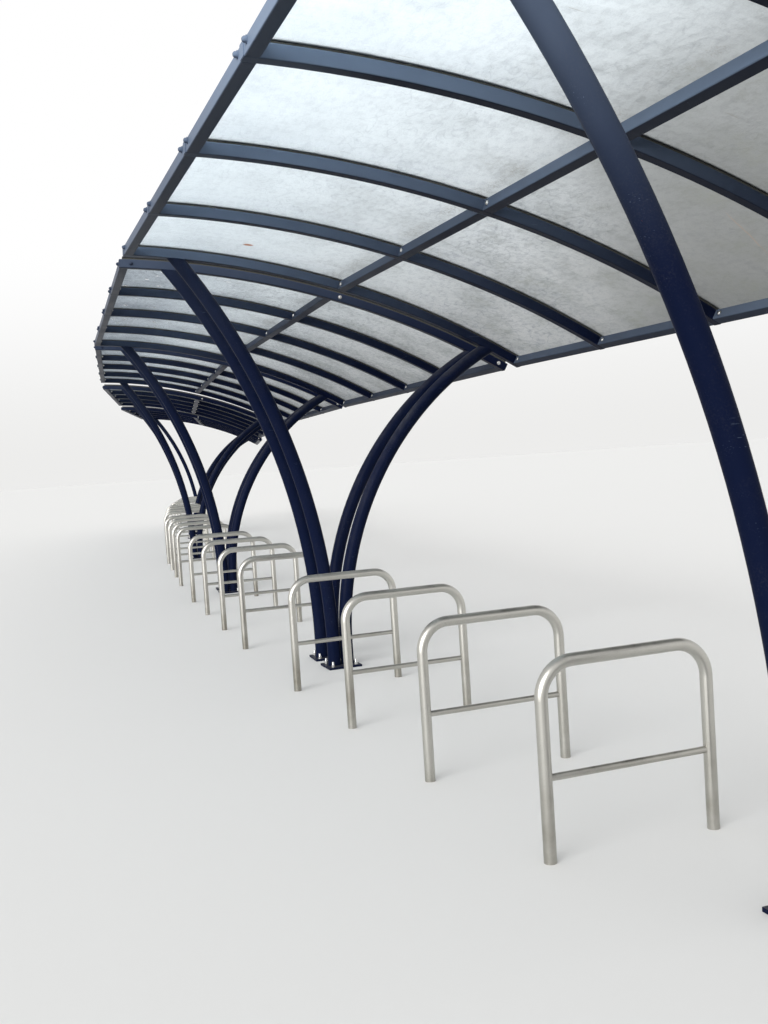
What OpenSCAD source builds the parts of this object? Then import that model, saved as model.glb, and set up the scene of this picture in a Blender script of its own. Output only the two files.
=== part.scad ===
// Cantilevered cycle shelter: a row of five roof units on V shaped post frames,
// curving gently to the right, with hoop stands for the bikes beneath.
// X runs across the row, Y along it away from the near end, Z up from the ground.
// The origin is on the ground at the foot of the near end frame.

/* [Row] */
// Pitch of the rafters, which is the width of one roof bay
bay = 1200; // [900:10:1300]
// Distance between the last rafter of a unit and the first of the next one, centre to centre
unit_gap = 380; // [300:5:480]
// Turn to the right from one unit to the next, in degrees
unit_turn = 3.1; // [0:0.1:4]
// Drop of the roof from each unit to the next one
unit_drops = [0, 0, 75, 70]; // [0:1:120]

/* [Roof shape] */
// Height of the front eave beam at its middle
front_z = 2954; // [2700:1:3200]
// Height of the rear eave beam at its middle
rear_z = 2128; // [1950:1:2350]
// Distance of the front eave beam in front of the post line
front_x = 1282; // [1150:1:1480]
// Distance of the rear eave beam behind the post line
rear_x = 1548; // [1450:1:1830]
// Distance of the middle purlin behind the post line
mid_x = 196; // [0:1:400]
// Radius of the rafters at the middle of their depth
roof_r = 6282; // [5500:1:8000]

/* [Steel sections] */
// Outer diameter of the post tubes
tube_d = 93; // [76:0.5:115]
// Gap between the two tubes of a frame at its foot
tube_gap = 5; // [2:1:20]
// Bend radius of the front post tube
front_bend = 4545; // [4100:5:5300]
// Bend radius of the rear post tube
rear_bend = 2340; // [2150:5:2750]
// Height at which the post tubes of the first unit start to bend
bend_start = 163; // [150:1:250]
// Width of a rafter
rafter_w = 60; // [50:1:80]
// Depth of a rafter
rafter_h = 60; // [50:1:80]
// Side of the square purlins and eave beams
purlin_s = 60; // [45:1:70]
// Outer corner radius of the box sections
corner_r = 6; // [3:0.5:9]

/* [Base plates] */
// Length of a base plate across the row
base_x = 240; // [230:1:400]
// Length of a base plate along the row
base_y = 230; // [215:1:235]
// Thickness of a base plate
base_t = 15; // [8:1:25]
// Distance between anchor holes, the same both ways
anchor_pitch = 170; // [150:1:180]
// Diameter of an anchor hole
anchor_d = 18; // [12:1:22]

/* [Roof sheets] */
// Thickness of the seal between a rafter and the sheets
seal_t = 8; // [5:1:15]
// Thickness of a roof sheet
sheet_t = 5; // [3:0.5:12]
// Gap between neighbouring sheets
sheet_joint = 10; // [4:1:20]
// Distance of the ends of seals, sheets and strips inside the outer faces of the eave beams
sheet_inset = 20; // [0:1:30]
// Distance of a cover strip's edges inside those of the rafter below it
strip_inset = 5; // [2:1:10]
// Thickness of a cover strip
strip_t = 6; // [3:0.5:10]

/* [Hoop stands] */
// Outer diameter of the hoop tube
hoop_d = 48.3; // [38:0.1:60]
// Length of a hoop between the middles of its legs
hoop_l = 700; // [500:5:900]
// Height of a hoop to the top of its tube
hoop_h = 745; // [650:5:860]
// Bend radius of the hoop corners
hoop_bend = 130; // [80:5:200]
// Outer diameter of the low crossbar
bar_d = 26.9; // [21:0.1:42]
// Height of the low crossbar
bar_z = 307; // [200:1:450]
// Distance between neighbouring hoops
hoop_pitch = 1130; // [800:10:1300]
// Distance of the first hoop from the near frame
hoop_first = 790; // [400:10:950]
// Distance of the hoops' middle in front of the post line
hoop_x = 145; // [0:5:300]

/* [Hidden] */
units = 5;
bays = 4;
hoops = 4;
$fn = 48;
navy = [0.13, 0.16, 0.27];
trim_grey = [0.22, 0.23, 0.26];
rubber = [0.05, 0.05, 0.06];
sheet_white = [0.80, 0.82, 0.80, 0.6];
steel = [0.62, 0.63, 0.64];

unit_l = bays * bay;
// Centre of the roof arc, worked out from the two eaves and the radius
eave_dx = rear_x + front_x;
eave_dz = rear_z - front_z;
eave_chord = norm([eave_dx, eave_dz]);
arc_rise = sqrt(roof_r * roof_r - eave_chord * eave_chord / 4);
arc_cx = (rear_x - front_x) / 2 + eave_dz / eave_chord * arc_rise;
arc_cz = (rear_z + front_z) / 2 - eave_dx / eave_chord * arc_rise;
under_r = roof_r - rafter_h / 2;
top_r = roof_r + rafter_h / 2;
sheet_r = top_r + seal_t;
// The purlins' undersides are level with the rafters' and the rafters end at the eave beams' faces
purlin_r = under_r + purlin_s / 2;
tail_angle = asin(purlin_s / 2 / roof_r);
strip_tail = tail_angle - sheet_inset / roof_r * 180 / PI;
seal_w = rafter_w - 2 * corner_r;
strip_w = rafter_w - 2 * strip_inset;
leg_x = (tube_d + tube_gap) / 2;
// Post tubes run on this far past the rafter's underside before they are trimmed to it
tube_spare = 2 * tube_d;
function spare_angle(bend_r) = tube_spare / bend_r * 180 / PI;
trim_angle = spare_angle(roof_r);
// Depth of the block that trims the feet of the frames to the ground
ground_cut = bend_start + tube_spare;
// Cuts run this far past the faces that they open
cut_over = 1;

// Angle on the roof arc above a distance x across the row
function arc_angle(x) = acos((x - arc_cx) / roof_r);
front_angle = arc_angle(-front_x);
rear_angle = arc_angle(rear_x);

// Turn, drop and foot of each unit, found by walking along the row
function heading(u) = (u - 1) * unit_turn;
function along(h, len) = [len * sin(h), len * cos(h)];
function foot(u) = u == 1 ? [0, 0]
    : foot(u - 1) + along(heading(u - 1), unit_l) + along(heading(u), unit_gap);
function drop(u) = u == 1 ? 0 : drop(u - 1) + unit_drops[u - 2];

module at_unit(u) {
    translate([foot(u)[0], foot(u)[1], 0]) rotate([0, 0, -heading(u)]) children();
}

// Box section outline with round corners, centred
module box_section(w, h) {
    r = corner_r;
    square([w - 2 * r, h], center = true);
    square([w, h - 2 * r], center = true);
    for (x = [-1, 1], y = [-1, 1])
        translate([x * (w / 2 - r), y * (h / 2 - r)]) circle(r);
}

// Sweeps an outline along the roof arc: its x is the radius and its y runs along the row
module roof_sweep(from_angle, to_angle) {
    translate([arc_cx, 0, arc_cz]) rotate([90, 0, 0]) rotate([0, 0, from_angle])
        rotate_extrude(angle = to_angle - from_angle, $fn = 360) children();
}

// A flat strip that follows the roof arc and stops short of the ends of the rafters
module roof_strip(r, t, y, w) {
    translate([0, y, 0]) roof_sweep(rear_angle - strip_tail, front_angle + strip_tail)
        translate([r, -w / 2]) square([t, w]);
}

// Angle through which a post tube bends before its middle line meets the underside of the rafter
function meet_angle(bend_r, centre_x) =
    let (dx = centre_x + leg_x + bend_r, dz = arc_cz - bend_start, d = norm([dx, dz]))
    atan2(dz, dx) + acos((bend_r * bend_r + d * d - under_r * under_r) / (2 * bend_r * d));

// One bent post tube beside the post line, bending towards the front
module bent_tube(bend_r, start_z, sweep) {
    if (start_z > 0) translate([-leg_x, 0, 0]) cylinder(d = tube_d, h = start_z);
    translate([-leg_x - bend_r, 0, start_z]) rotate([90, 0, 0])
        rotate_extrude(angle = sweep, $fn = 360) translate([bend_r, 0]) circle(d = tube_d, $fn = 48);
}

// A V frame: two bent tubes side by side on a base plate, trimmed to the rafter above
module v_frame(u) {
    start_z = bend_start - drop(u);
    color(navy) difference() {
        union() {
            bent_tube(front_bend, start_z, meet_angle(front_bend, arc_cx) + spare_angle(front_bend));
            mirror([1, 0, 0])
                bent_tube(rear_bend, start_z, meet_angle(rear_bend, -arc_cx) + spare_angle(rear_bend));
            translate([-base_x / 2, -base_y / 2, 0]) cube([base_x, base_y, base_t]);
        }
        translate([0, 0, -drop(u)]) roof_sweep(rear_angle - trim_angle, front_angle + trim_angle)
            translate([under_r, -tube_d]) square([2 * tube_spare, 2 * tube_d]);
        translate([-base_x, -base_y, -ground_cut]) cube([2 * base_x, 2 * base_y, ground_cut]);
        for (x = [-1, 1], y = [-1, 1])
            translate([x * anchor_pitch / 2, y * anchor_pitch / 2, -cut_over])
                cylinder(d = anchor_d, h = base_t + 2 * cut_over);
    }
}

// One arched box section rafter
module rafter() {
    roof_sweep(rear_angle - tail_angle, front_angle + tail_angle)
        translate([roof_r, 0]) box_section(rafter_h, rafter_w);
}

module rafters(u, places) {
    color(navy) translate([0, 0, -drop(u)])
        for (i = places) translate([0, i * bay, 0]) rafter();
}

// One length of purlin between two rafters
module purlin(x) {
    a = arc_angle(x);
    translate([arc_cx + purlin_r * cos(a), bay - rafter_w / 2, arc_cz + purlin_r * sin(a)])
        rotate([0, 90 - a, 0]) rotate([90, 0, 0])
            linear_extrude(bay - rafter_w) box_section(purlin_s, purlin_s);
}

module purlins(u) {
    color(navy) translate([0, 0, -drop(u)])
        for (i = [0:bays - 1], x = [-front_x, mid_x, rear_x])
            translate([0, i * bay, 0]) purlin(x);
}

// Rubber seals on the flat tops of the rafters keep the sheets off the purlins
module roof_seals(u) {
    color(rubber) translate([0, 0, -drop(u)])
        for (i = [0:bays]) roof_strip(top_r, seal_t, i * bay, seal_w);
}

// Sheets butt over the middle of each rafter and run to the outer edge of the end ones
module roof_sheets(u) {
    edge = rafter_w / 2 - sheet_joint / 2;
    color(sheet_white) translate([0, 0, -drop(u)])
        for (i = [0:bays - 1]) {
            from = i * bay + (i == 0 ? -edge : sheet_joint / 2);
            to = (i + 1) * bay + (i == bays - 1 ? edge : -sheet_joint / 2);
            roof_strip(sheet_r, sheet_t, (from + to) / 2, to - from);
        }
}

module cover_strips(u) {
    color(trim_grey) translate([0, 0, -drop(u)])
        for (i = [0:bays]) roof_strip(sheet_r + sheet_t, strip_t, i * bay, strip_w);
}

// One hoop: two legs, two bends, a top rail and a low crossbar
module hoop() {
    rail_z = hoop_h - hoop_d / 2;
    half = hoop_l / 2;
    for (side = [0, 1]) mirror([side, 0, 0]) {
        translate([half, 0, 0]) cylinder(d = hoop_d, h = rail_z - hoop_bend);
        translate([half - hoop_bend, 0, rail_z - hoop_bend]) rotate([90, 0, 0])
            rotate_extrude(angle = 90) translate([hoop_bend, 0]) circle(d = hoop_d);
    }
    translate([hoop_bend - half, 0, rail_z]) rotate([0, 90, 0])
        cylinder(d = hoop_d, h = hoop_l - 2 * hoop_bend);
    translate([-half, 0, bar_z]) rotate([0, 90, 0]) cylinder(d = bar_d, h = hoop_l);
}

module hoop_stands() {
    color(steel)
        for (i = [0:hoops - 1]) translate([-hoop_x, hoop_first + i * hoop_pitch, 0]) hoop();
}

for (u = [1:units]) {
    at_unit(u) v_frame(u);
    at_unit(u) translate([0, unit_l, 0]) v_frame(u);
    at_unit(u) rafters(u, [0, bays]);
    at_unit(u) rafters(u, [1:bays - 1]);
    at_unit(u) purlins(u);
    at_unit(u) roof_seals(u);
    at_unit(u) roof_sheets(u);
    at_unit(u) cover_strips(u);
    at_unit(u) hoop_stands();
}
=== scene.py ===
import math

import bmesh
import bpy
from mathutils import Matrix, Vector


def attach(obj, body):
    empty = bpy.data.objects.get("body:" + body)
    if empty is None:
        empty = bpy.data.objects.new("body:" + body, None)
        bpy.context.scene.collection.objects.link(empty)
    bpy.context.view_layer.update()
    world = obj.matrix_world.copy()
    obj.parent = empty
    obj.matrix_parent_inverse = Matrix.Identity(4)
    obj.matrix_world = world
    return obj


bl_info = {
    "name": "Cycle shelter finisher",
    "version": (1, 0, 0),
    "blender": (4, 5, 0),
    "location": "View3D > Sidebar > Shelter",
    "description": "Finishes, fixings and a studio for a row of arched cycle shelters",
    "category": "Object",
}

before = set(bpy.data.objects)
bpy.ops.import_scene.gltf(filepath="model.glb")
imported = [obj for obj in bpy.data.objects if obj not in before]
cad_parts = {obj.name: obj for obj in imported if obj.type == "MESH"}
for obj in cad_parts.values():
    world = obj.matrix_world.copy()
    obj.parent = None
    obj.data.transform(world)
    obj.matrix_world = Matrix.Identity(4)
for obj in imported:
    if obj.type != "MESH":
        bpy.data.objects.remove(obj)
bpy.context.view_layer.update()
MERGE_DISTANCE = 1e-6


# Sizes, colours and settings

class ShelterSizes(bpy.types.PropertyGroup):
    """Driving sizes of the row, the same as those of the steelwork"""
    units: bpy.props.IntProperty(
        name="Units", description="Roof units in the row", default=5, min=1)
    bays: bpy.props.IntProperty(
        name="Bays", description="Roof bays in a unit", default=4, min=1)
    bay: bpy.props.FloatProperty(
        name="Bay", description="Pitch of the rafters", default=1.2, unit="LENGTH")
    unit_gap: bpy.props.FloatProperty(
        name="Unit gap", description="From the last rafter of a unit to the first of the next",
        default=0.38, unit="LENGTH")
    unit_turn: bpy.props.FloatProperty(
        name="Unit turn", description="Turn to the right from one unit to the next",
        default=math.radians(3.1), subtype="ANGLE")
    unit_drops: bpy.props.FloatVectorProperty(
        name="Unit drops", description="Drop of the roof from each unit to the next", size=4,
        default=(0.0, 0.0, 0.075, 0.07), unit="LENGTH")
    front_x: bpy.props.FloatProperty(
        name="Front eave reach", description="Front eave beam to post line", default=1.282,
        unit="LENGTH")
    front_z: bpy.props.FloatProperty(
        name="Front eave height", description="Height of the front eave beam", default=2.954,
        unit="LENGTH")
    rear_x: bpy.props.FloatProperty(
        name="Rear eave reach", description="Rear eave beam to post line", default=1.548,
        unit="LENGTH")
    rear_z: bpy.props.FloatProperty(
        name="Rear eave height", description="Height of the rear eave beam", default=2.128,
        unit="LENGTH")
    mid_x: bpy.props.FloatProperty(
        name="Middle purlin", description="Middle purlin to post line", default=0.196,
        unit="LENGTH")
    roof_r: bpy.props.FloatProperty(
        name="Roof radius", description="Radius at the middle of the rafters", default=6.282,
        unit="LENGTH")
    rafter_w: bpy.props.FloatProperty(
        name="Rafter width", description="Width of a rafter", default=0.06, unit="LENGTH")
    rafter_h: bpy.props.FloatProperty(
        name="Rafter depth", description="Depth of a rafter", default=0.06, unit="LENGTH")
    purlin_s: bpy.props.FloatProperty(
        name="Purlin side", description="Side of the square purlins", default=0.06, unit="LENGTH")
    seal_t: bpy.props.FloatProperty(
        name="Seal", description="Thickness of the seal under the sheets", default=0.008,
        unit="LENGTH")
    sheet_t: bpy.props.FloatProperty(
        name="Sheet", description="Thickness of a roof sheet", default=0.005, unit="LENGTH")
    strip_t: bpy.props.FloatProperty(
        name="Cover strip", description="Thickness of a cover strip", default=0.006, unit="LENGTH")
    anchor_pitch: bpy.props.FloatProperty(
        name="Anchor pitch", description="Distance between anchors", default=0.17, unit="LENGTH")
    base_t: bpy.props.FloatProperty(
        name="Base plate", description="Thickness of a base plate", default=0.015, unit="LENGTH")


class ShelterFixings(bpy.types.PropertyGroup):
    """Sizes and places of the bolts and screws"""
    head_r: bpy.props.FloatProperty(
        name="Bolt head", description="Radius of a dome head", default=0.012, unit="LENGTH")
    head_h: bpy.props.FloatProperty(
        name="Head height", description="Height of a dome head", default=0.009, unit="LENGTH")
    dome_h: bpy.props.FloatProperty(
        name="Dome height", description="Height of a painted dome head on the front eave",
        default=0.015, unit="LENGTH")
    eave_bolt_z: bpy.props.FloatProperty(
        name="Eave bolts", description="Bolts of the front eave above the middle of the beam",
        default=0.012, unit="LENGTH")
    nut_r: bpy.props.FloatProperty(
        name="Nut", description="Radius to the corners of a nut", default=0.011, unit="LENGTH")
    nut_h: bpy.props.FloatProperty(
        name="Nut height", description="Height of a nut", default=0.01, unit="LENGTH")
    stud_r: bpy.props.FloatProperty(
        name="Thread", description="Radius of the threaded end", default=0.006, unit="LENGTH")
    screw_pitch: bpy.props.FloatProperty(
        name="Screw pitch", description="Screws along a cover strip", default=0.3, unit="LENGTH")
    cross_bolt_y: bpy.props.FloatProperty(
        name="Cross bolts", description="Bolt through a purlin, from the middle of the rafter",
        default=0.073, unit="LENGTH")
    end_bolt_x: bpy.props.FloatVectorProperty(
        name="End bolts", size=3, default=(0.048, 0.076, -0.040), unit="LENGTH",
        description="Bolts in an end rafter, from the front, middle and rear purlins")


class ShelterColours(bpy.types.PropertyGroup):
    """Colours of the finishes, and how far the paint has faded or is lightened as painted glare"""
    # These values stand partly for chalked paint and partly for painted glare, most on the first
    # unit.
    chalk_and_glare: bpy.props.FloatVectorProperty(
        name="Chalk", description="How far the roof steel's paint has faded, unit by unit", size=5,
        default=(1.05, 0.42, 0.22, 0.18, 0.18))
    navy: bpy.props.FloatVectorProperty(
        name="Navy", description="Paint of the steelwork", subtype="COLOR", size=4,
        default=(0.005, 0.009, 0.031, 1.0))
    # The faded navy shows at scratches, on chalked paint and as painted glare.
    faded: bpy.props.FloatVectorProperty(
        name="Faded navy", description="Chalked paint", subtype="COLOR", size=4,
        default=(0.23, 0.30, 0.42, 1.0))
    dust: bpy.props.FloatVectorProperty(
        name="Dust", description="Dry dirt", subtype="COLOR", size=4,
        default=(0.145, 0.142, 0.132, 1.0))
    rust: bpy.props.FloatVectorProperty(
        name="Rust", description="Rust at chips", subtype="COLOR", size=4,
        default=(0.16, 0.055, 0.02, 1.0))
    sheet: bpy.props.FloatVectorProperty(
        name="Sheet", description="Opal roof sheet", subtype="COLOR", size=4,
        default=(0.86, 0.95, 1.0, 1.0))
    # This sheet colour greys the sheets towards the rear eave, partly with age and partly as
    # painted shade.
    aged_and_shaded: bpy.props.FloatVectorProperty(
        name="Aged sheet", description="Opal sheet greyed by age, low at the rear",
        subtype="COLOR", size=4, default=(0.56, 0.57, 0.565, 1.0))
    film: bpy.props.FloatVectorProperty(
        name="Dirt film", description="Grey film on the sheets", subtype="COLOR", size=4,
        default=(0.25, 0.28, 0.32, 1.0))
    # Near shade is painted shade over the near rear corner of the roof sheets.
    near_shade: bpy.props.FloatVectorProperty(
        name="Grime", description="Dark dirt at the near rear corner", subtype="COLOR", size=4,
        default=(0.20, 0.205, 0.20, 1.0))
    algae: bpy.props.FloatVectorProperty(
        name="Algae", description="Green growth on the sheets", subtype="COLOR", size=4,
        default=(0.34, 0.35, 0.29, 1.0))
    speck: bpy.props.FloatVectorProperty(
        name="Specks", description="Dark specks on the sheets", subtype="COLOR", size=4,
        default=(0.20, 0.17, 0.13, 1.0))
    # The drops are painted as bright glints, whiter than the clean sheet.
    drop: bpy.props.FloatVectorProperty(
        name="Drops", description="Bright drops at the front of the sheets", subtype="COLOR",
        size=4, default=(1.0, 1.0, 1.0, 1.0))
    leaf: bpy.props.FloatVectorProperty(
        name="Leaf", description="Leaf mark in the first unit", subtype="COLOR", size=4,
        default=(0.34, 0.07, 0.015, 1.0))
    crack: bpy.props.FloatVectorProperty(
        name="Crack", description="Crack in the first unit", subtype="COLOR", size=4,
        default=(0.45, 0.30, 0.20, 1.0))
    cut_edge: bpy.props.FloatVectorProperty(
        name="Cut edge", description="Dirty side edges of the sheets", subtype="COLOR", size=4,
        default=(0.02, 0.02, 0.022, 1.0))
    steel: bpy.props.FloatVectorProperty(
        name="Stand steel", description="Dull stainless steel", subtype="COLOR", size=4,
        default=(0.55, 0.54, 0.50, 1.0))
    steel_shade: bpy.props.FloatVectorProperty(
        name="Brush lines", description="Darker lines in the stand steel", subtype="COLOR", size=4,
        default=(0.30, 0.29, 0.27, 1.0))
    steel_film: bpy.props.FloatVectorProperty(
        name="Stand film", description="Brown film low on the stands", subtype="COLOR", size=4,
        default=(0.22, 0.20, 0.16, 1.0))
    fixing: bpy.props.FloatVectorProperty(
        name="Fixing steel", description="Bolts and screws", subtype="COLOR", size=4,
        default=(0.58, 0.58, 0.57, 1.0))
    fixing_dull: bpy.props.FloatVectorProperty(
        name="Dull fixing steel", description="Spots on the bolts and screws", subtype="COLOR",
        size=4, default=(0.34, 0.33, 0.31, 1.0))
    rubber: bpy.props.FloatVectorProperty(
        name="Rubber", description="Black seals", subtype="COLOR", size=4,
        default=(0.055, 0.056, 0.046, 1.0))
    rubber_grey: bpy.props.FloatVectorProperty(
        name="Greyed rubber", description="Blotches on the seals", subtype="COLOR", size=4,
        default=(0.06, 0.06, 0.056, 1.0))
    strip: bpy.props.FloatVectorProperty(
        name="Cover strip", description="Grey aluminium strips", subtype="COLOR", size=4,
        default=(0.045, 0.05, 0.06, 1.0))


class ShelterStudio(bpy.types.PropertyGroup):
    """Camera, light, floor and backdrop of the studio"""
    camera_x: bpy.props.FloatProperty(
        name="Camera X", description="Across the row", default=-2.2756, unit="LENGTH")
    camera_y: bpy.props.FloatProperty(
        name="Camera Y", description="Along the row", default=-2.6382, unit="LENGTH")
    camera_z: bpy.props.FloatProperty(
        name="Camera Z", description="Above the ground", default=1.50, unit="LENGTH")
    yaw: bpy.props.FloatProperty(
        name="Yaw", description="Turn to the right of the row", default=math.radians(19.81),
        subtype="ANGLE")
    pitch: bpy.props.FloatProperty(
        name="Pitch", description="Tilt below the horizon", default=math.radians(3.052),
        subtype="ANGLE")
    roll: bpy.props.FloatProperty(
        name="Roll", description="Lean of the camera", default=math.radians(-3.77),
        subtype="ANGLE")
    focal_px: bpy.props.FloatProperty(
        name="Focal length", description="In pixels of the picture", default=1088.7)
    picture_px: bpy.props.FloatProperty(
        name="Picture", description="Long side of the picture, in pixels", default=1024.0)
    sky_strength: bpy.props.FloatProperty(
        name="Sky", description="Strength of the soft light from all round", default=0.8)
    key_strength: bpy.props.FloatProperty(
        name="Key light", description="Strength of the soft key light", default=3.0)
    key_way: bpy.props.FloatVectorProperty(
        name="Key light way", description="The way that the key light shines", subtype="XYZ",
        default=(0.80, 0.60, -0.28))
    back_strength: bpy.props.FloatProperty(
        name="Back light", description="Strength of the light beyond the far end", default=0.26)
    back_way: bpy.props.FloatVectorProperty(
        name="Back light way", description="The way that the back light shines", subtype="XYZ",
        default=(-0.33, -0.75, -0.57))
    lamp_angle: bpy.props.FloatProperty(
        name="Softness", description="Width of both lights", default=math.radians(50),
        subtype="ANGLE")
    floor_reach: bpy.props.FloatProperty(
        name="Floor", description="From the middle of the floor to its sides", default=150.0,
        unit="LENGTH")
    floor_seen: bpy.props.FloatVectorProperty(
        name="Floor colour", description="Colour that the floor shows", subtype="COLOR", size=4,
        default=(0.74, 0.74, 0.73, 1.0))
    floor_bounce: bpy.props.FloatVectorProperty(
        name="Floor bounce", description="Colour of the light that the floor gives back",
        subtype="COLOR", size=4, default=(0.10, 0.10, 0.10, 1.0))
    horizon: bpy.props.FloatVectorProperty(
        name="Horizon", description="Backdrop where it meets the floor", subtype="COLOR", size=4,
        default=(0.847, 0.845, 0.835, 1.0))
    zenith: bpy.props.FloatVectorProperty(
        name="Zenith", description="Backdrop higher up", subtype="COLOR", size=4,
        default=(1.0, 1.0, 1.0, 1.0))


def sizes():
    return bpy.context.scene.shelter_sizes


def fixings():
    return bpy.context.scene.shelter_fixings


def colours():
    return bpy.context.scene.shelter_colours


def studio():
    return bpy.context.scene.shelter_studio


# Places on the row and on the roof arc

def arc_centre():
    """The centre of the roof arc, from its two eaves and its radius"""
    s = sizes()
    span = s.rear_x + s.front_x
    fall = s.rear_z - s.front_z
    chord = math.hypot(span, fall)
    rise = math.sqrt(s.roof_r ** 2 - chord ** 2 / 4)
    x = (s.rear_x - s.front_x) / 2 + fall / chord * rise
    z = (s.rear_z + s.front_z) / 2 - span / chord * rise
    return Vector((x, 0, z))


def arc_angle(x):
    """The angle on the roof arc above a distance across the row"""
    return math.acos((x - arc_centre().x) / sizes().roof_r)


def rafter_tail():
    """The angle from the middle of an eave beam to its outer face, where the rafters end"""
    return math.asin(sizes().purlin_s / 2 / sizes().roof_r)


def strip_top():
    """The radius of the roof at the top of the cover strips"""
    s = sizes()
    return s.roof_r + s.rafter_h / 2 + s.seal_t + s.sheet_t + s.strip_t


def arc_place(angle, radius, y):
    """A place on the arc: its Z points out of the roof, its X down to the rear eave"""
    out = Vector((math.cos(angle), 0, math.sin(angle)))
    along = Vector((0, 1, 0))
    down = along.cross(out)
    turn = Matrix((down, along, out)).transposed().to_4x4()
    point = arc_centre() + radius * out + y * along
    return Matrix.Translation(point) @ turn


def heading(unit):
    """How far a unit is turned to the right of the first"""
    return unit * sizes().unit_turn


def unit_foot(unit):
    """The foot of a unit's near frame, found by walking along the row"""
    s = sizes()
    foot = Vector((0, 0, 0))
    for u in range(unit):
        for turn, length in ((heading(u), s.bays * s.bay), (heading(u + 1), s.unit_gap)):
            foot += length * Vector((math.sin(turn), math.cos(turn), 0))
    return foot


def on_ground(unit):
    """From the first unit's place on the ground to a later one's"""
    return Matrix.Translation(unit_foot(unit)) @ Matrix.Rotation(-heading(unit), 4, "Z")


def on_roof(unit):
    """As on_ground, with the drop of the later unit's roof"""
    drop = sum(list(sizes().unit_drops)[:unit])
    return Matrix.Translation((0, 0, -drop)) @ on_ground(unit)


# Shapes and finished pieces

def turned(profile, steps):
    """A closed turned shape about Z, from radius and height pairs"""
    bm = bmesh.new()
    verts = [bm.verts.new((r, 0, h)) for r, h in profile]
    edges = [bm.edges.new(pair) for pair in zip(verts, verts[1:])]
    bmesh.ops.spin(bm, geom=verts + edges, cent=(0, 0, 0), axis=(0, 0, 1), angle=math.tau,
                   steps=steps, use_merge=True)
    bmesh.ops.remove_doubles(bm, verts=bm.verts, dist=MERGE_DISTANCE)
    bmesh.ops.recalc_face_normals(bm, faces=bm.faces)
    return as_shape(bm)


def as_shape(bm):
    """Keeps a mesh as a shape that can be stamped, and frees its bmesh"""
    shape = bpy.data.meshes.new("shape")
    bm.to_mesh(shape)
    bm.free()
    return shape


def stamp(bm, shape, place):
    """Adds a copy of a shape to a mesh at a place"""
    first = len(bm.verts)
    bm.from_mesh(shape)
    bm.verts.ensure_lookup_table()
    bmesh.ops.transform(bm, matrix=place, verts=bm.verts[first:])


def finish_piece(name, bm, material, crease=math.radians(40)):
    """Makes a mesh a piece of the shelter, with its own finish"""
    bmesh.ops.recalc_face_normals(bm, faces=bm.faces)
    for edge in bm.edges:
        edge.smooth = len(edge.link_faces) == 2 and edge.calc_face_angle() < crease
    for face in bm.faces:
        face.smooth = True
    mesh = bpy.data.meshes.new(name)
    bm.to_mesh(mesh)
    bm.free()
    mesh.materials.append(material)
    piece = bpy.data.objects.new(name, mesh)
    bpy.context.scene.collection.objects.link(piece)
    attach(piece, "root")


# Node helpers

def add(tree, kind, place=(0, 0), **settings):
    """Adds a node and gives it its settings"""
    node = tree.nodes.new(kind)
    node.location = place
    for name, value in settings.items():
        setattr(node, name, value)
    return node


def plug(tree, socket, value):
    """Links a socket to another one, or sets it to a plain value"""
    if isinstance(value, bpy.types.NodeSocket):
        tree.links.new(value, socket)
    else:
        socket.default_value = value


def feed(tree, node, **values):
    """Sets or links a node's inputs, given by their names with underscores for spaces"""
    for name, value in values.items():
        plug(tree, node.inputs[name.replace("_", " ")], value)
    return node


def noise(tree, vector, scale, detail=2.0, rough=0.5):
    """Noise from 0 to 1, with scale in bumps a metre"""
    node = add(tree, "ShaderNodeTexNoise")
    return feed(tree, node, Vector=vector, Scale=scale, Detail=detail, Roughness=rough).outputs[0]


def cells(tree, vector, scale):
    """Cells about scattered points, with the distance to the point and a colour for each"""
    return feed(tree, add(tree, "ShaderNodeTexVoronoi"), Vector=vector, Scale=scale).outputs


def window(tree, value, low, high):
    """A smooth mask that rises from 0 at low to 1 at high"""
    node = add(tree, "ShaderNodeMapRange", interpolation_type="SMOOTHSTEP")
    return feed(tree, node, Value=value, From_Min=low, From_Max=high).outputs["Result"]


def calc(tree, operation, *values, clamp=False):
    """One step of arithmetic on numbers and sockets"""
    node = add(tree, "ShaderNodeMath", operation=operation, use_clamp=clamp)
    for socket, value in zip(node.inputs, values):
        plug(tree, socket, value)
    return node.outputs[0]


def plus(tree, base, extra, share, clamp=False):
    """A value with a share of another one added"""
    return calc(tree, "ADD", base, calc(tree, "MULTIPLY", extra, share), clamp=clamp)


def vector_calc(tree, operation, *values):
    """One step of arithmetic on vectors, which gives a Vector or a Value"""
    node = add(tree, "ShaderNodeVectorMath", operation=operation)
    for socket, value in zip(node.inputs, values):
        plug(tree, socket, value)
    return node.outputs


def split(tree, vector):
    """The X, Y and Z of a vector"""
    return feed(tree, add(tree, "ShaderNodeSeparateXYZ"), Vector=vector).outputs


def facing(tree):
    """The X, Y and Z of the way that a surface faces"""
    return split(tree, add(tree, "ShaderNodeNewGeometry").outputs["Normal"])


def blend(tree, factor, a, b):
    """Mixes two colours by a factor"""
    node = add(tree, "ShaderNodeMix", data_type="RGBA", blend_type="MIX")
    for number, value in ((0, factor), (6, a), (7, b)):
        plug(tree, node.inputs[number], value)
    return node.outputs[2]


def stain(tree, tint, mask, share, colour):
    """Mixes a colour into a tint by a share of a mask"""
    return blend(tree, calc(tree, "MULTIPLY", mask, share), tint, colour)


def stretched(tree, vector, turn, scale):
    """Turns and stretches coordinates, for streaks that run down the roof"""
    node = add(tree, "ShaderNodeMapping")
    return feed(tree, node, Vector=vector, Rotation=(0, 0, turn), Scale=scale).outputs[0]


def about(tree, vector, place, turn, size=(1.0, 1.0, 1.0)):
    """Coordinates measured from a place, turned about Z, in units of a size"""
    node = add(tree, "ShaderNodeMapping", vector_type="TEXTURE")
    feed(tree, node, Vector=vector, Location=place, Rotation=(0, 0, turn), Scale=size)
    return node.outputs[0]


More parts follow.
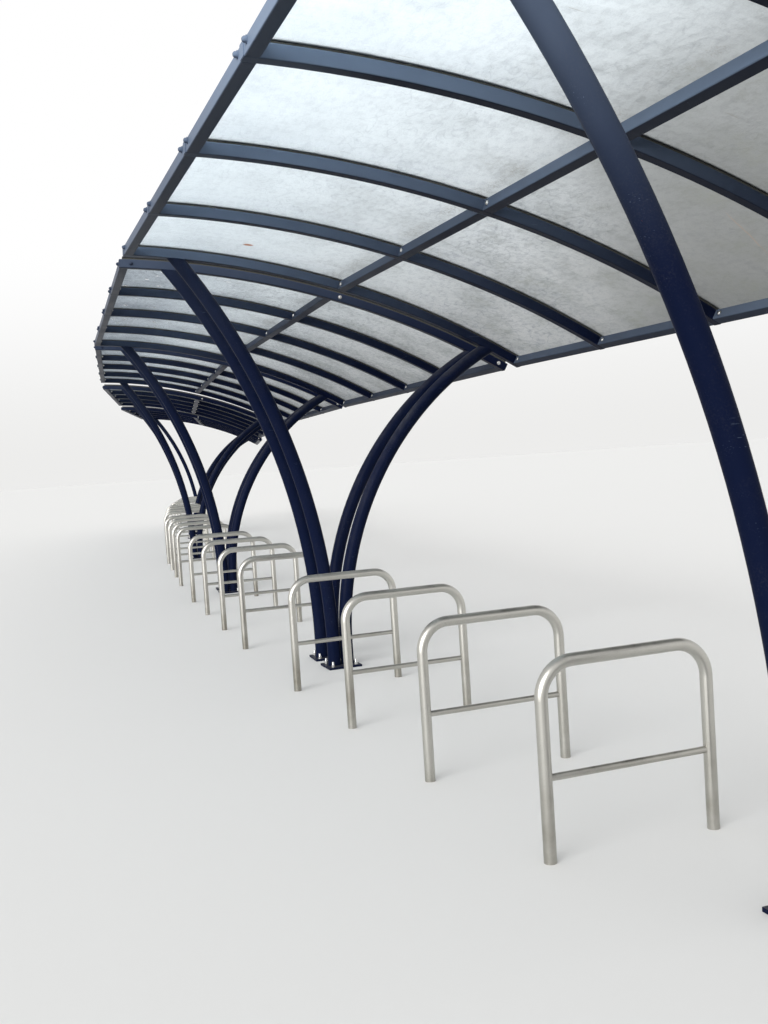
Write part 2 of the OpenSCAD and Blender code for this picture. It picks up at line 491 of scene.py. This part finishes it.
def new_group(name, inputs, outputs):
    """A shader node group of masks: its inputs are vectors, or numbers where a default is given"""
    tree = bpy.data.node_groups.new(name, "ShaderNodeTree")
    for label, default in inputs.items():
        kind = "NodeSocketVector" if default is None else "NodeSocketFloat"
        socket = tree.interface.new_socket(label, in_out="INPUT", socket_type=kind)
        if default is not None:
            socket.default_value = default
    for label in outputs:
        tree.interface.new_socket(label, in_out="OUTPUT", socket_type="NodeSocketFloat")
    return tree, add(tree, "NodeGroupInput").outputs, add(tree, "NodeGroupOutput")


def weathering_group():
    """Dust that settles on upward faces, blotches, fine scratches and chips"""
    tree, given, result = new_group(
        "Weathering", {"Vector": None, "Dust": 0.5, "Scratches": 0.3},
        ("Dust Mask", "Blotches", "Scratch Mask", "Chips", "Height"))
    where = given["Vector"]
    upward = window(tree, facing(tree)["Z"], 0.1, 0.95)
    patches = window(tree, noise(tree, where, scale=7.0, detail=6.0, rough=0.65), 0.42, 0.66)
    fine = window(tree, noise(tree, where, scale=160.0, detail=3.0, rough=0.6), 0.45, 0.7)
    settled = calc(tree, "MULTIPLY", upward, calc(tree, "MULTIPLY_ADD", patches, 0.6, 0.5))
    settled = plus(tree, settled, calc(tree, "MULTIPLY", patches, fine), 0.22)
    lines = noise(tree, stretched(tree, where, turn=0.5, scale=(9.0, 260.0, 260.0)), scale=1.0)
    rare = window(tree, noise(tree, where, scale=5.0), 0.52, 0.68)
    scratch = calc(tree, "MULTIPLY", window(tree, lines, 0.66, 0.74), rare)
    nicks = window(tree, noise(tree, where, scale=46.0, detail=4.0, rough=0.7), 0.735, 0.765)
    nick_depth = calc(tree, "MULTIPLY", nicks, 2.0)
    feed(tree, result,
         Dust_Mask=calc(tree, "MULTIPLY", settled, given["Dust"], clamp=True),
         Blotches=window(tree, noise(tree, where, scale=2.3, detail=5.0, rough=0.6), 0.3, 0.75),
         Scratch_Mask=calc(tree, "MULTIPLY", scratch, given["Scratches"], clamp=True),
         Chips=calc(tree, "MULTIPLY", nicks, window(tree, patches, 0.2, 0.9)),
         Height=calc(tree, "SUBTRACT", noise(tree, where, scale=420.0), nick_depth))


def roof_dirt_group():
    """Film, run-off streaks, strands, growth, specks, twigs, and drops painted as bright glints,
    on the roof sheets
    """
    tree, given, result = new_group(
        "Roof dirt",
        {"Vector": None, "Streak Vector": None, "Rear": 0.5, "Front": 0.5, "Age": 0.3},
        ("Film", "Algae", "Specks", "Drops", "Height"))
    where = given["Vector"]
    drawn = stretched(tree, where, turn=0.0, scale=(1.0, 0.45, 1.0))
    streaks = noise(tree, given["Streak Vector"], scale=1.0, detail=6.0, rough=0.66)
    clouds = noise(tree, where, scale=3.0, detail=6.0, rough=0.60)
    mottle = noise(tree, drawn, scale=34.0, detail=5.0, rough=0.7)
    grain = noise(tree, drawn, scale=230.0, detail=3.0, rough=0.6)
    film = calc(tree, "MULTIPLY", window(tree, streaks, 0.40, 0.70), 0.14)
    film = plus(tree, film, window(tree, clouds, 0.44, 0.60), 0.24)
    film = plus(tree, film, window(tree, mottle, 0.47, 0.60), 0.34)
    film = plus(tree, film, window(tree, grain, 0.46, 0.60), 0.30)
    film = plus(tree, film, strands(tree, drawn), 0.46)
    # The film thickens towards the rear eave, partly as dirt and partly as painted shade.
    thickness = calc(tree, "MULTIPLY_ADD", given["Rear"], 0.60, given["Age"])
    film = calc(tree, "MULTIPLY", film, thickness)
    growth = calc(tree, "MULTIPLY", window(tree, clouds, 0.40, 0.72), given["Rear"])
    bits = window(tree, noise(tree, where, scale=75.0, detail=3.0, rough=0.7), 0.715, 0.755)
    grit = window(tree, noise(tree, where, scale=210.0, rough=0.6), 0.70, 0.76)
    marks = plus(tree, bits, grit, 0.5)
    for turn in (0.55, -0.9, 1.9):
        marks = calc(tree, "ADD", marks, twigs(tree, where, turn))
    # The drops, painted as bright glints on the fronts of the later units.
    drops = window(tree, cells(tree, where, scale=7.0)["Distance"], 0.17, 0.12)
    feed(tree, result,
         Film=plus(tree, film, given["Front"], 0.58, clamp=True),
         Algae=calc(tree, "MULTIPLY", growth, window(tree, mottle, 0.34, 0.62)),
         Specks=calc(tree, "MINIMUM", marks, 1.0),
         Drops=calc(tree, "MULTIPLY", drops, window(tree, given["Front"], 0.0, 0.6)),
         Height=plus(tree, mottle, streaks, 0.8))


def strands(tree, where):
    """Thin curled lines and rings a few centimetres wide, as of dried drops, in patches"""
    levels = calc(tree, "MULTIPLY", noise(tree, where, scale=11.5, detail=1.5, rough=0.6), 5.0)
    middle = calc(tree, "SUBTRACT", calc(tree, "FRACT", levels), 0.5)
    lines = window(tree, calc(tree, "ABSOLUTE", middle), 0.13, 0.0)
    patches = window(tree, noise(tree, where, scale=1.4, detail=3.0), 0.44, 0.60)
    return calc(tree, "MULTIPLY", lines, patches)


def twigs(tree, where, turn):
    """A few short dark lines, one in many narrow cells"""
    narrow = cells(tree, stretched(tree, where, turn, scale=(3.0, 55.0, 3.0)), scale=1.0)
    lines = window(tree, narrow["Distance"], 0.13, 0.07)
    lot = feed(tree, add(tree, "ShaderNodeSeparateColor"), Color=narrow["Color"]).outputs[0]
    return calc(tree, "MULTIPLY", lines, calc(tree, "GREATER_THAN", lot, 0.985))


def new_material(name, **plain):
    """A material with one Principled shader, and its plain values set on the shader"""
    material = bpy.data.materials.new(name)
    material.use_nodes = True
    tree = material.node_tree
    tree.nodes.clear()
    shader = add(tree, "ShaderNodeBsdfPrincipled", (300, 0))
    output = add(tree, "ShaderNodeOutputMaterial", (600, 0))
    tree.links.new(shader.outputs[0], output.inputs[0])
    feed(tree, shader, **plain)
    return material, tree, shader


def object_coordinates(tree):
    return add(tree, "ShaderNodeTexCoord", (-1200, 0)).outputs["Object"]


def placed_group(tree, group, **values):
    """Places a node group in a material, and gives its outputs"""
    node = add(tree, "ShaderNodeGroup", (-600, 0))
    node.node_tree = bpy.data.node_groups[group]
    return feed(tree, node, **values).outputs


def bump(tree, shader, height, strength, distance):
    """Raises and sinks a surface by a height that varies over it"""
    node = add(tree, "ShaderNodeBump", (0, -300))
    feed(tree, node, Height=height, Strength=strength, Distance=distance)
    feed(tree, shader, Normal=node.outputs[0])


# Finishes

def navy_paint(name, chalk_and_glare, ior, spread):
    """Gloss navy paint, lighter towards one side partly from chalking and partly as painted glare,
    dusty on top, with small rusty chips

    spread gives, for some axes, where the chalking and the painted glare are least and most, and
    their least share.
    The undersides keep their colour, partly as painted shade, but for those near the front eave,
    which are lightened as painted light.
    """
    c = colours()
    material, tree, shader = new_material(name, IOR=ior, Coat_Weight=0.02, Coat_Roughness=0.18)
    where = object_coordinates(tree)
    place = split(tree, where)
    age = placed_group(tree, "Weathering", Vector=where, Dust=0.30, Scratches=0.25)
    # How far the paint is lightened: partly chalked paint, partly painted glare.
    fade_and_glare = calc(tree, "MULTIPLY_ADD", age["Blotches"], 0.12, chalk_and_glare)
    for axis, least_at, most_at, least in spread:
        share = window(tree, place[axis], least_at, most_at)
        share = calc(tree, "MULTIPLY_ADD", share, 1 - least, least)
        fade_and_glare = calc(tree, "MULTIPLY", fade_and_glare, share)
    # Undersides stay dark, partly as painted shade; near the front eave they are lightened as
    # painted light.
    eave = calc(tree, "MULTIPLY", window(tree, place["X"], -0.7, -1.2), 0.6)
    exposed_and_lit = calc(tree, "MAXIMUM", window(tree, facing(tree)["Z"], -1.1, -0.4), eave)
    paint = blend(tree, calc(tree, "MULTIPLY", fade_and_glare, exposed_and_lit), c.navy, c.faded)
    paint = blend(tree, age["Scratch Mask"], paint, c.faded)
    paint = blend(tree, age["Dust Mask"], paint, c.dust)
    paint = blend(tree, age["Chips"], paint, c.rust)
    rough = calc(tree, "MULTIPLY_ADD", age["Dust Mask"], 0.45, 0.34)
    rough = plus(tree, rough, age["Blotches"], 0.10)
    feed(tree, shader, Base_Color=paint, Roughness=rough)
    bump(tree, shader, age["Height"], strength=0.12, distance=0.0006)
    return material


def sheet_finish(unit):
    """Opal plastic, with dirt that thickens and streaks down to the rear eave

    The units beyond the first have an older film, thick at the front too. The greying and
    thickening towards the rear eave is partly dirt and partly painted shade, the near rear corner
    holds painted shade, and the drops are painted as bright glints.
    """
    c, s = colours(), sizes()
    material, tree, shader = new_material(
        f"opal_sheet_{unit + 1}", IOR=1.16, Transmission_Weight=1.0)
    where = object_coordinates(tree)
    local = about(tree, where, unit_foot(unit), -heading(unit))
    across = split(tree, local)["X"]
    rear = window(tree, across, -s.front_x, s.rear_x)
    front = window(tree, across, 0.0, -s.front_x) if unit else 0.0
    streak = stretched(tree, local, turn=0.0, scale=(1.6, 34.0, 1.6))
    dirt = placed_group(tree, "Roof dirt", Vector=local, Streak_Vector=streak, Rear=rear,
                        Front=front, Age=0.55 if unit else 0.30)
    # Greyer towards the rear eave: partly age, partly painted shade.
    tint = blend(tree, rear, c.sheet, c.aged_and_shaded)
    tint = blend(tree, dirt["Film"], tint, c.film)
    # Painted shade over the near rear corner of the row.
    tint = stain(tree, tint, near_shade_mask(tree, where), 0.70, c.near_shade)
    tint = stain(tree, tint, dirt["Algae"], 0.5, c.algae)
    tint = stain(tree, tint, dirt["Specks"], 0.6, c.speck)
    # The drops are painted as bright glints, whiter than the clean sheet.
    tint = blend(tree, dirt["Drops"], tint, c.drop)
    tint = stain(tree, tint, crumbs(tree, where, across), 0.55, c.speck)
    if unit == 0:
        leaf = spot(tree, where, place=(-0.55, 4.40, 2.91), turn=-0.5, size=(0.042, 0.022, 0.10))
        tint = blend(tree, leaf, tint, c.leaf)
        crack = spot(tree, where, place=(1.11, 1.555, 2.40), turn=0.40, size=(0.22, 0.005, 0.60))
        tint = stain(tree, tint, crack, 0.5, c.crack)
    cut = window(tree, calc(tree, "ABSOLUTE", facing(tree)["Y"]), 0.6, 0.9)
    tint = blend(tree, cut, tint, c.cut_edge)
    rough = calc(tree, "MULTIPLY_ADD", dirt["Film"], 0.2, 0.42)
    rough = calc(tree, "SUBTRACT", rough, calc(tree, "MULTIPLY", dirt["Drops"], 0.4), clamp=True)
    feed(tree, shader, Base_Color=tint, Roughness=rough)
    bump(tree, shader, dirt["Height"], strength=0.7, distance=0.003)
    return material


def spot(tree, where, place, turn, size):
    """A mask for one small oval mark on a sheet, with an uneven edge"""
    wobble = feed(tree, add(tree, "ShaderNodeTexNoise"), Vector=where, Scale=9.0, Detail=2.0)
    bent = vector_calc(tree, "MULTIPLY_ADD", wobble.outputs["Color"], (0.02, 0.02, 0.0), where)
    oval = about(tree, bent["Vector"], place, turn, size)
    return window(tree, vector_calc(tree, "LENGTH", oval)["Value"], 1.0, 0.6)


def crumbs(tree, where, across):
    """A mask for the crumbs of dirt caught in front of the middle purlin"""
    caught_at = sizes().mid_x - 0.06
    beside = calc(tree, "ABSOLUTE", calc(tree, "SUBTRACT", across, caught_at))
    bits = window(tree, noise(tree, where, scale=110.0, detail=3.0, rough=0.7), 0.50, 0.60)
    patches = window(tree, noise(tree, where, scale=2.6, detail=3.0, rough=0.6), 0.42, 0.60)
    some = calc(tree, "MULTIPLY", bits, patches)
    return calc(tree, "MULTIPLY", some, window(tree, beside, 0.08, 0.0))


def near_shade_mask(tree, where):
    """A mask for the near rear corner of the row, which holds painted shade"""
    place = split(tree, where)
    slant = calc(tree, "MULTIPLY", place["X"], 1.1)
    reach = calc(tree, "SUBTRACT", place["Y"], slant)
    reach = calc(tree, "ADD", reach, noise(tree, where, scale=1.1, detail=4.0, rough=0.6))
    return calc(tree, "MULTIPLY", window(tree, reach, 2.7, 1.2),
                window(tree, place["X"], -0.55, 0.5))


def strip_finish():
    """Dark grey coated aluminium of the cover strips, dusty on top"""
    c = colours()
    material, tree, shader = new_material("coated_strip", IOR=1.45)
    where = object_coordinates(tree)
    age = placed_group(tree, "Weathering", Vector=where, Dust=0.9, Scratches=0.8)
    coat = blend(tree, age["Scratch Mask"], c.strip, c.faded)
    coat = blend(tree, age["Dust Mask"], coat, c.dust)
    rough = calc(tree, "MULTIPLY_ADD", age["Dust Mask"], 0.35, 0.42)
    feed(tree, shader, Base_Color=coat, Roughness=rough)
    bump(tree, shader, age["Height"], strength=0.1, distance=0.0005)
    return material


def stand_finish():
    """Dull brushed stainless steel with a brown film low down"""
    c = colours()
    material, tree, shader = new_material("dull_stainless", Metallic=1.0)
    where = object_coordinates(tree)
    age = placed_group(tree, "Weathering", Vector=where, Dust=0.7, Scratches=0.9)
    brush = noise(tree, stretched(tree, where, turn=0.0, scale=(60.0, 60.0, 900.0)), scale=1.0)
    low = window(tree, split(tree, where)["Z"], 0.5, 0.0)
    steel = stain(tree, c.steel, brush, 0.25, c.steel_shade)
    steel = blend(tree, calc(tree, "MULTIPLY", low, age["Blotches"]), steel, c.steel_film)
    steel = blend(tree, age["Dust Mask"], steel, c.dust)
    rough = calc(tree, "MULTIPLY_ADD", brush, 0.18, 0.24)
    feed(tree, shader, Base_Color=steel, Roughness=rough)
    bump(tree, shader, calc(tree, "ADD", brush, age["Height"]), strength=0.1, distance=0.0004)
    return material


def bright_steel():
    """Polished stainless steel of the bolts and screws"""
    c = colours()
    material, tree, shader = new_material("fixing_steel", Metallic=1.0)
    where = object_coordinates(tree)
    spots = window(tree, noise(tree, where, scale=300.0, detail=3.0, rough=0.6), 0.45, 0.7)
    steel = blend(tree, spots, c.fixing, c.fixing_dull)
    rough = calc(tree, "MULTIPLY_ADD", spots, 0.2, 0.18)
    feed(tree, shader, Base_Color=steel, Roughness=rough)
    return material


def rubber_finish():
    """Black rubber of the seals, greyed by dust"""
    c = colours()
    material, tree, shader = new_material("black_rubber", IOR=1.45)
    where = object_coordinates(tree)
    age = placed_group(tree, "Weathering", Vector=where, Dust=0.6, Scratches=0.2)
    tone = stain(tree, c.rubber, age["Blotches"], 0.4, c.rubber_grey)
    tone = blend(tree, age["Dust Mask"], tone, c.dust)
    rough = calc(tree, "MULTIPLY_ADD", age["Blotches"], 0.15, 0.55)
    feed(tree, shader, Base_Color=tone, Roughness=rough)
    bump(tree, shader, age["Height"], strength=0.1, distance=0.0004)
    return material


def dress(prefixes, material):
    """Gives CAD nodes their finish, by the start of their names"""
    for name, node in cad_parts.items():
        if name.startswith(prefixes):
            node.data.materials.clear()
            node.data.materials.append(material)


def finish(name, maker):
    """A material that several pieces share, made once"""
    return bpy.data.materials.get(name) or maker()


def navy():
    """The paint of the posts, lighter towards the top and most at the near end, partly chalking
    and partly painted glare
    """
    name = "navy_gloss_paint"
    spread = (("Z", 1.9, 3.1, 0.0), ("Y", 3.5, 0.8, 0.12))
    return finish(name, lambda: navy_paint(name, chalk_and_glare=0.44, ior=1.08, spread=spread))


def roof_navy(kind, unit, spread):
    """The paint of one kind of a unit's roof steel, as chalked, and as lightened by painted glare,
    as that unit is
    """
    name = f"navy_{kind}_paint_{unit + 1}"
    chalk_and_glare = colours().chalk_and_glare[unit]
    return finish(name, lambda: navy_paint(name, chalk_and_glare, ior=1.09, spread=spread))


def rafter_navy(unit):
    """The paint of a unit's rafters, lighter towards the front and the near end, partly chalking
    and partly painted glare
    """
    return roof_navy("rafter", unit, (("X", 1.6, -1.2, 0.0), ("Y", 4.0, 0.0, 0.55)))


def purlin_navy(unit):
    """The paint of a unit's purlins and eave beams, and of the bolts and caps on them, lighter
    towards the near end, partly chalking and partly painted glare
    """
    return roof_navy("purlin", unit, (("Y", 3.4, 0.0, 0.35),))


def steel_fixing():
    return finish("fixing_steel", bright_steel)


# Operators, one for each group of like pieces

class SHELTER_OT_steelwork(bpy.types.Operator):
    """Paints the post frames, rafters and purlins"""
    bl_idname = "shelter.steelwork"
    bl_label = "Paint steelwork"

    def execute(self, context):
        dress(("near_frame", "far_frame"), navy())
        for unit in range(sizes().units):
            dress((f"end_rafters_{unit + 1}", f"mid_rafters_{unit + 1}"), rafter_navy(unit))
            dress((f"purlins_{unit + 1}",), purlin_navy(unit))
        return {"FINISHED"}


class SHELTER_OT_roof_sheets(bpy.types.Operator):
    """Glazes the roof with weathered opal sheets"""
    bl_idname = "shelter.roof_sheets"
    bl_label = "Glaze roof"

    def execute(self, context):
        for unit in range(sizes().units):
            dress((f"roof_sheets_{unit + 1}",), sheet_finish(unit))
        return {"FINISHED"}


def screw_shape():
    """A flanged screw head with a socket, standing on Z = 0"""
    socket_r, socket_floor, socket_rim = 0.002, 0.0025, 0.0045
    flange_r, flange_t = 0.0085, 0.001
    return turned([(0, socket_floor), (socket_r, socket_floor), (socket_r, socket_rim),
                   (0.0042, 0.004), (0.0056, 0.0015), (flange_r, flange_t),
                   (flange_r, -flange_t)], steps=12)


class SHELTER_OT_cover_strips(bpy.types.Operator):
    """Coats the cover strips and drives their screws"""
    bl_idname = "shelter.cover_strips"
    bl_label = "Fit cover strips"

    def execute(self, context):
        s, f = sizes(), fixings()
        dress(("cover_strips",), finish("coated_strip", strip_finish))
        screw = screw_shape()
        start = arc_angle(s.rear_x)
        end = arc_angle(-s.front_x)
        count = round((end - start) * strip_top() / f.screw_pitch)
        for unit in range(s.units):
            bm = bmesh.new()
            for b in range(s.bays + 1):
                for i in range(count + 1):
                    angle = start + (end - start) * i / count
                    stamp(bm, screw, on_roof(unit) @ arc_place(angle, strip_top(), b * s.bay))
            finish_piece(f"strip_screws_{unit + 1}", bm, steel_fixing())
        return {"FINISHED"}


class SHELTER_OT_seals(bpy.types.Operator):
    """Gives the seals between rafters and sheets their rubber"""
    bl_idname = "shelter.seals"
    bl_label = "Lay seals"

    def execute(self, context):
        dress(("roof_seals",), finish("black_rubber", rubber_finish))
        return {"FINISHED"}


def bolt_shapes():
    """A dome head with a socket, and a nut on a threaded end, both standing on Z = 0"""
    f = fixings()
    washer_r = f.head_r * 1.2
    washer_t = 0.002
    socket_r = f.head_r * 0.3
    socket_floor = washer_t + f.head_h * 0.35
    socket_rim = washer_t + f.head_h * 0.98
    head = turned([(0, socket_floor), (socket_r, socket_floor), (socket_r, socket_rim),
                   (f.head_r * 0.55, washer_t + f.head_h * 0.9),
                   (f.head_r * 0.85, washer_t + f.head_h * 0.58), (f.head_r, washer_t),
                   (washer_r, washer_t), (washer_r, 0)], steps=16)
    bm = bmesh.new()
    bmesh.ops.create_cone(bm, cap_ends=True, segments=6, radius1=f.nut_r, radius2=f.nut_r,
                          depth=f.nut_h,
                          matrix=Matrix.Translation((0, 0, washer_t + f.nut_h / 2)))
    outer = [e for e in bm.edges if all(v.co.z > washer_t + f.nut_h * 0.9 for v in e.verts)]
    corner = 0.0012
    bmesh.ops.bevel(bm, geom=outer, offset=corner, offset_type="OFFSET", affect="EDGES",
                    segments=1, profile=0.5, material=-1)
    thread_end, thread_shoulder = f.nut_h + 0.008, f.nut_h + 0.007
    stud = turned([(0, thread_end), (f.stud_r * 0.8, thread_end), (f.stud_r, thread_shoulder),
                   (f.stud_r, washer_t)], steps=12)
    washer = turned([(0, washer_t), (washer_r, washer_t), (washer_r, 0)], steps=16)
    for shape in (stud, washer):
        stamp(bm, shape, Matrix.Identity(4))
    return head, as_shape(bm)


class SHELTER_OT_bolts(bpy.types.Operator):
    """Bolts the purlins beside each rafter, and the free faces of the end rafters"""
    bl_idname = "shelter.bolts"
    bl_label = "Fit bolts"

    def execute(self, context):
        s, f = sizes(), fixings()
        head, nut = bolt_shapes()
        to_front = Matrix.Rotation(math.radians(-90), 4, "Y")
        to_rear = Matrix.Rotation(math.radians(90), 4, "Y")
        to_near = Matrix.Rotation(math.radians(90), 4, "X")
        to_far = Matrix.Rotation(math.radians(-90), 4, "X")
        face = Matrix.Translation((s.purlin_s / 2, 0, 0))
        other_face = Matrix.Translation((-s.purlin_s / 2, 0, 0))
        # the first and last place would be outside the end rafters
        rows = [b * s.bay + side * f.cross_bolt_y
                for b in range(s.bays + 1) for side in (-1, 1)][1:-1]
        ends = ((-s.rafter_w / 2, to_near), (s.bays * s.bay + s.rafter_w / 2, to_far))
        purlins = (-s.front_x, s.mid_x, s.rear_x)
        broader = 1.1
        domed = Matrix.Diagonal((broader, broader, f.dome_h / f.head_h, 1))
        for unit in range(s.units):
            bm = bmesh.new()
            painted = bmesh.new()
            for x in purlins:
                front = x < 0
                raised = f.eave_bolt_z if front else 0.0
                for y in rows:
                    place = on_roof(unit) @ arc_place(arc_angle(x), s.roof_r + raised, y)
                    if front:
                        stamp(painted, head, place @ other_face @ to_front @ domed)
                    else:
                        stamp(bm, head, place @ other_face @ to_front)
                    stamp(bm, nut, place @ face @ to_rear)
            for x, shift in zip(purlins, f.end_bolt_x):
                angle = arc_angle(x) - shift / s.roof_r
                for y, turn in ends:
                    stamp(painted if x < 0 else bm, head,
                          on_roof(unit) @ arc_place(angle, s.roof_r, y) @ turn)
            finish_piece(f"roof_bolts_{unit + 1}", bm, steel_fixing())
            finish_piece(f"eave_bolts_{unit + 1}", painted, purlin_navy(unit))
        return {"FINISHED"}


class SHELTER_OT_end_caps(bpy.types.Operator):
    """Caps the open ends of the rafters"""
    bl_idname = "shelter.end_caps"
    bl_label = "Cap rafter ends"

    def execute(self, context):
        s = sizes()
        tail = rafter_tail()
        thick = 0.003
        margin = 0.004
        corner = 0.005
        size = (thick, s.rafter_w - margin, s.rafter_h - margin)
        for unit in range(s.units):
            bm = bmesh.new()
            for b in range(s.bays + 1):
                for x, way in ((-s.front_x, 1), (s.rear_x, -1)):
                    angle = arc_angle(x) + way * tail
                    place = on_roof(unit) @ arc_place(angle, s.roof_r, b * s.bay)
                    verts = bmesh.ops.create_cube(bm, size=1.0)["verts"]
                    bmesh.ops.scale(bm, vec=size, verts=verts)
                    edges = [e for e in bm.edges if e.verts[0] in verts
                             and abs(e.verts[0].co.x - e.verts[1].co.x) > thick / 2]
                    rounded = bmesh.ops.bevel(
                        bm, geom=edges, offset=corner, offset_type="OFFSET", affect="EDGES",
                        segments=3, profile=0.5, material=-1)
                    shape = {v for v in verts if v.is_valid} | set(rounded["verts"])
                    shift = Matrix.Translation((-way * thick / 2, 0, 0))
                    bmesh.ops.transform(bm, matrix=place @ shift, verts=list(shape))
            finish_piece(f"rafter_caps_{unit + 1}", bm, purlin_navy(unit))
        return {"FINISHED"}


class SHELTER_OT_anchors(bpy.types.Operator):
    """Stands an anchor stud with its washer and nut in each base plate hole"""
    bl_idname = "shelter.anchors"
    bl_label = "Fit anchors"

    def execute(self, context):
        s = sizes()
        bm = bmesh.new()
        washer_r, washer_t = 0.015, 0.003
        nut_r, nut_h = 0.0139, 0.013
        stud_r, stud_end, stud_shoulder, stud_foot = 0.008, 0.038, 0.036, -s.base_t + 0.001
        washer = turned([(0, washer_t), (washer_r, washer_t), (washer_r, 0)], steps=20)
        stud = turned([(0, stud_end), (stud_r * 0.8, stud_end), (stud_r, stud_shoulder),
                       (stud_r, stud_foot), (0, stud_foot)], steps=12)
        bmesh.ops.create_cone(bm, cap_ends=True, segments=6, radius1=nut_r, radius2=nut_r,
                              depth=nut_h,
                              matrix=Matrix.Translation((0, 0, washer_t + nut_h / 2)))
        nut = as_shape(bm)
        for unit in range(s.units):
            bm = bmesh.new()
            for y in (0, s.bays * s.bay):
                for dx in (-0.5, 0.5):
                    for dy in (-0.5, 0.5):
                        hole = (dx * s.anchor_pitch, y + dy * s.anchor_pitch, s.base_t)
                        place = on_ground(unit) @ Matrix.Translation(hole)
                        for shape in (washer, stud, nut):
                            stamp(bm, shape, place)
            finish_piece(f"anchors_{unit + 1}", bm, steel_fixing())
        return {"FINISHED"}


class SHELTER_OT_hoops(bpy.types.Operator):
    """Finishes the hoop stands in dull stainless steel"""
    bl_idname = "shelter.hoops"
    bl_label = "Finish hoop stands"

    def execute(self, context):
        dress(("hoop_stands",), finish("dull_stainless", stand_finish))
        return {"FINISHED"}


class SHELTER_OT_studio(bpy.types.Operator):
    """Sets up the floor, the soft light and the camera"""
    bl_idname = "shelter.studio"
    bl_label = "Set up studio"

    def execute(self, context):
        make_floor()
        make_sky()
        make_lamps()
        make_camera()
        context.scene.view_settings.view_transform = "Standard"
        return {"FINISHED"}


def seen_ray(tree):
    """1 for camera, glossy and transmission rays, and 0 for the rest"""
    rays = add(tree, "ShaderNodeLightPath").outputs
    seen = calc(tree, "MAXIMUM", rays["Is Camera Ray"], rays["Is Glossy Ray"])
    return calc(tree, "MAXIMUM", seen, rays["Is Transmission Ray"])


def make_floor():
    """A wide plain floor, pale to the eye and darker in the light that it gives back"""
    c = studio()
    bm = bmesh.new()
    bmesh.ops.create_grid(bm, x_segments=8, y_segments=8, size=c.floor_reach)
    mesh = bpy.data.meshes.new("studio_floor")
    bm.to_mesh(mesh)
    bm.free()
    floor = bpy.data.objects.new("studio_floor", mesh)
    bpy.context.scene.collection.objects.link(floor)
    material, tree, shader = new_material("studio_floor", Roughness=0.9)
    feed(tree, shader, Base_Color=blend(tree, seen_ray(tree), c.floor_bounce, c.floor_seen))
    mesh.materials.append(material)


def make_sky():
    """A pale backdrop, white above and as grey as the floor where they meet"""
    c = studio()
    world = bpy.data.worlds.new("studio_sky")
    bpy.context.scene.world = world
    world.use_nodes = True
    tree = world.node_tree
    tree.nodes.clear()
    look = split(tree, add(tree, "ShaderNodeTexCoord").outputs["Generated"])
    white_from = 0.20
    tone = blend(tree, window(tree, look["Z"], 0.0, white_from), c.horizon, c.zenith)
    strength = calc(tree, "MAXIMUM", seen_ray(tree), c.sky_strength)
    back = feed(tree, add(tree, "ShaderNodeBackground"), Color=tone, Strength=strength)
    output = add(tree, "ShaderNodeOutputWorld")
    tree.links.new(back.outputs[0], output.inputs[0])


def make_lamps():
    """Two large soft lights: a key light from the camera's side and one beyond the far end"""
    c = studio()
    for name, strength, way in (("key_light", c.key_strength, c.key_way),
                                ("back_light", c.back_strength, c.back_way)):
        lamp = bpy.data.lights.new(name, "SUN")
        lamp.energy = strength
        lamp.angle = c.lamp_angle
        light = bpy.data.objects.new(name, lamp)
        bpy.context.scene.collection.objects.link(light)
        light.rotation_euler = Vector(way).to_track_quat("-Z", "Y").to_euler()


def make_camera():
    """The photograph's own viewpoint"""
    c = studio()
    lens = bpy.data.cameras.new("camera")
    lens.sensor_width = 36.0
    lens.lens = c.focal_px / c.picture_px * lens.sensor_width
    lens.clip_end = 500
    camera = bpy.data.objects.new("camera", lens)
    bpy.context.scene.collection.objects.link(camera)
    look = Vector((math.sin(c.yaw) * math.cos(c.pitch), math.cos(c.yaw) * math.cos(c.pitch),
                   -math.sin(c.pitch)))
    right = Vector((math.cos(c.yaw), -math.sin(c.yaw), 0))
    up = right.cross(look)
    side = right * math.cos(c.roll) + up * math.sin(c.roll)
    top = up * math.cos(c.roll) - right * math.sin(c.roll)
    turn = Matrix((side, top, -look)).transposed().to_4x4()
    camera.matrix_world = Matrix.Translation((c.camera_x, c.camera_y, c.camera_z)) @ turn
    bpy.context.scene.camera = camera


class SHELTER_PT_panel(bpy.types.Panel):
    """Lists the steps that finish the shelter"""
    bl_idname = "SHELTER_PT_panel"
    bl_label = "Cycle shelter"
    bl_space_type = "VIEW_3D"
    bl_region_type = "UI"
    bl_category = "Shelter"

    def draw(self, context):
        for step in STEPS:
            self.layout.operator(step.bl_idname)


GROUPS = {
    "shelter_sizes": ShelterSizes,
    "shelter_fixings": ShelterFixings,
    "shelter_colours": ShelterColours,
    "shelter_studio": ShelterStudio,
}
STEPS = (
    SHELTER_OT_studio,
    SHELTER_OT_steelwork,
    SHELTER_OT_roof_sheets,
    SHELTER_OT_cover_strips,
    SHELTER_OT_seals,
    SHELTER_OT_bolts,
    SHELTER_OT_end_caps,
    SHELTER_OT_anchors,
    SHELTER_OT_hoops,
)


def register():
    for kind in (*GROUPS.values(), *STEPS, SHELTER_PT_panel):
        bpy.utils.register_class(kind)
    for name, kind in GROUPS.items():
        setattr(bpy.types.Scene, name, bpy.props.PointerProperty(type=kind))


def unregister():
    for name in GROUPS:
        delattr(bpy.types.Scene, name)
    for kind in (SHELTER_PT_panel, *reversed(STEPS), *reversed(GROUPS.values())):
        bpy.utils.unregister_class(kind)


def main():
    """Makes the shelter's finish and studio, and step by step"""
    register()
    weathering_group()
    roof_dirt_group()
    for step in STEPS:
        group, name = step.bl_idname.split(".")
        getattr(getattr(bpy.ops, group), name)()


if __name__ == "__main__":
    main()
